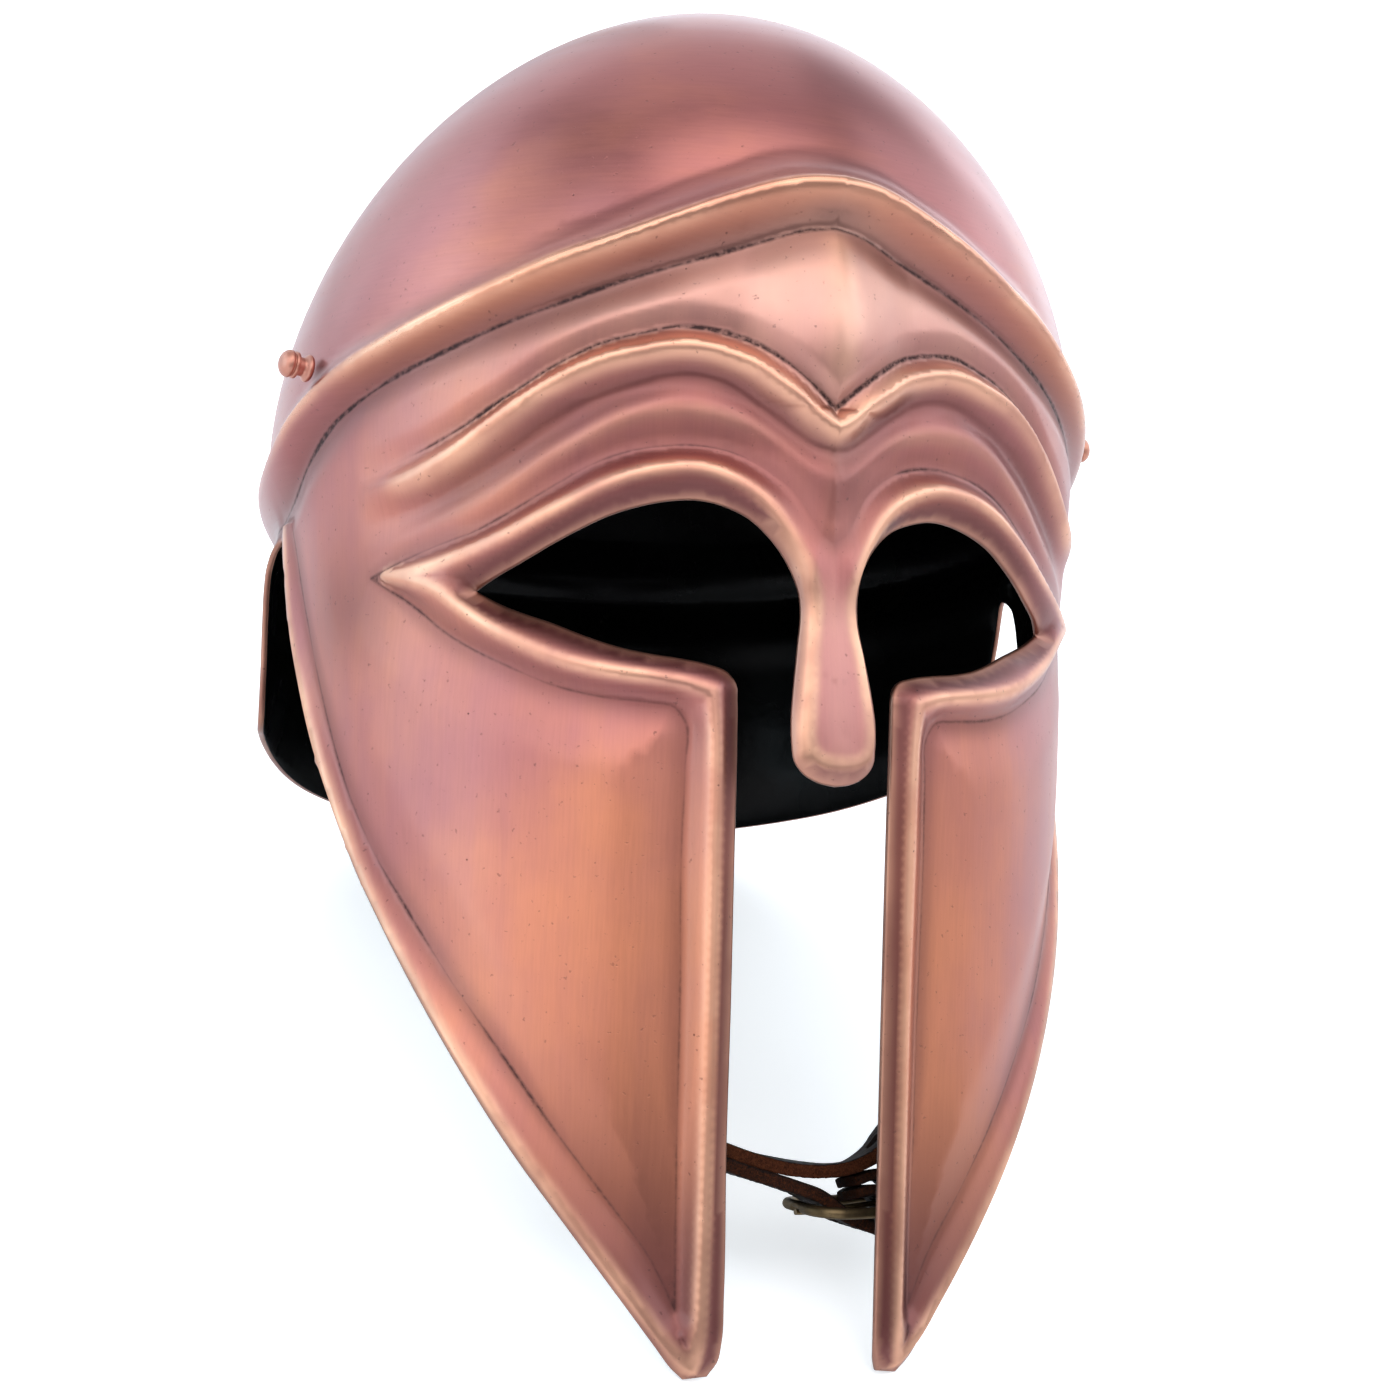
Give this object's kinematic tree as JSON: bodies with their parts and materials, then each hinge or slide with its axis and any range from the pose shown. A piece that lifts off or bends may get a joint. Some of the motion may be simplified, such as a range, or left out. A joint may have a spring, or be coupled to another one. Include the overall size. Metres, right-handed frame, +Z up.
{
  "type": "italo-corinthian helmet",
  "caption": "Full-face raised sheet helmet with a domed skull, ridged brow and eye rims, nasal, long pointed cheekpieces, crest studs and a buckled leather chin strap.",
  "frame": {"origin": "centre of the bounding box on the floor that the helmet rests on", "axes": "+X to the wearer's left, -Y the way the face looks, +Z up, with the helmet tipped back 31 degrees onto its cheek tips and neck rim"},
  "size_m": [0.202, 0.2756, 0.2337],
  "materials": {
    "copper": "antiqued copper, satin brushed with polished ridges and dark creases, gloss black paint inside",
    "leather": "dark brown vegetable-tanned leather with raw cut edges",
    "brass": "antique brass"
  },
  "bodies": {
    "root": {"helmet_shell": "copper", "crest_stud_right": "copper", "crest_stud_left": "copper", "strap_right": "leather", "strap_left": "leather", "buckle_loop": "leather", "buckle_frame": "brass", "buckle_prong": "brass", "strap_anchor_right": "brass", "strap_anchor_left": "brass"}
  },
  "joints": []
}
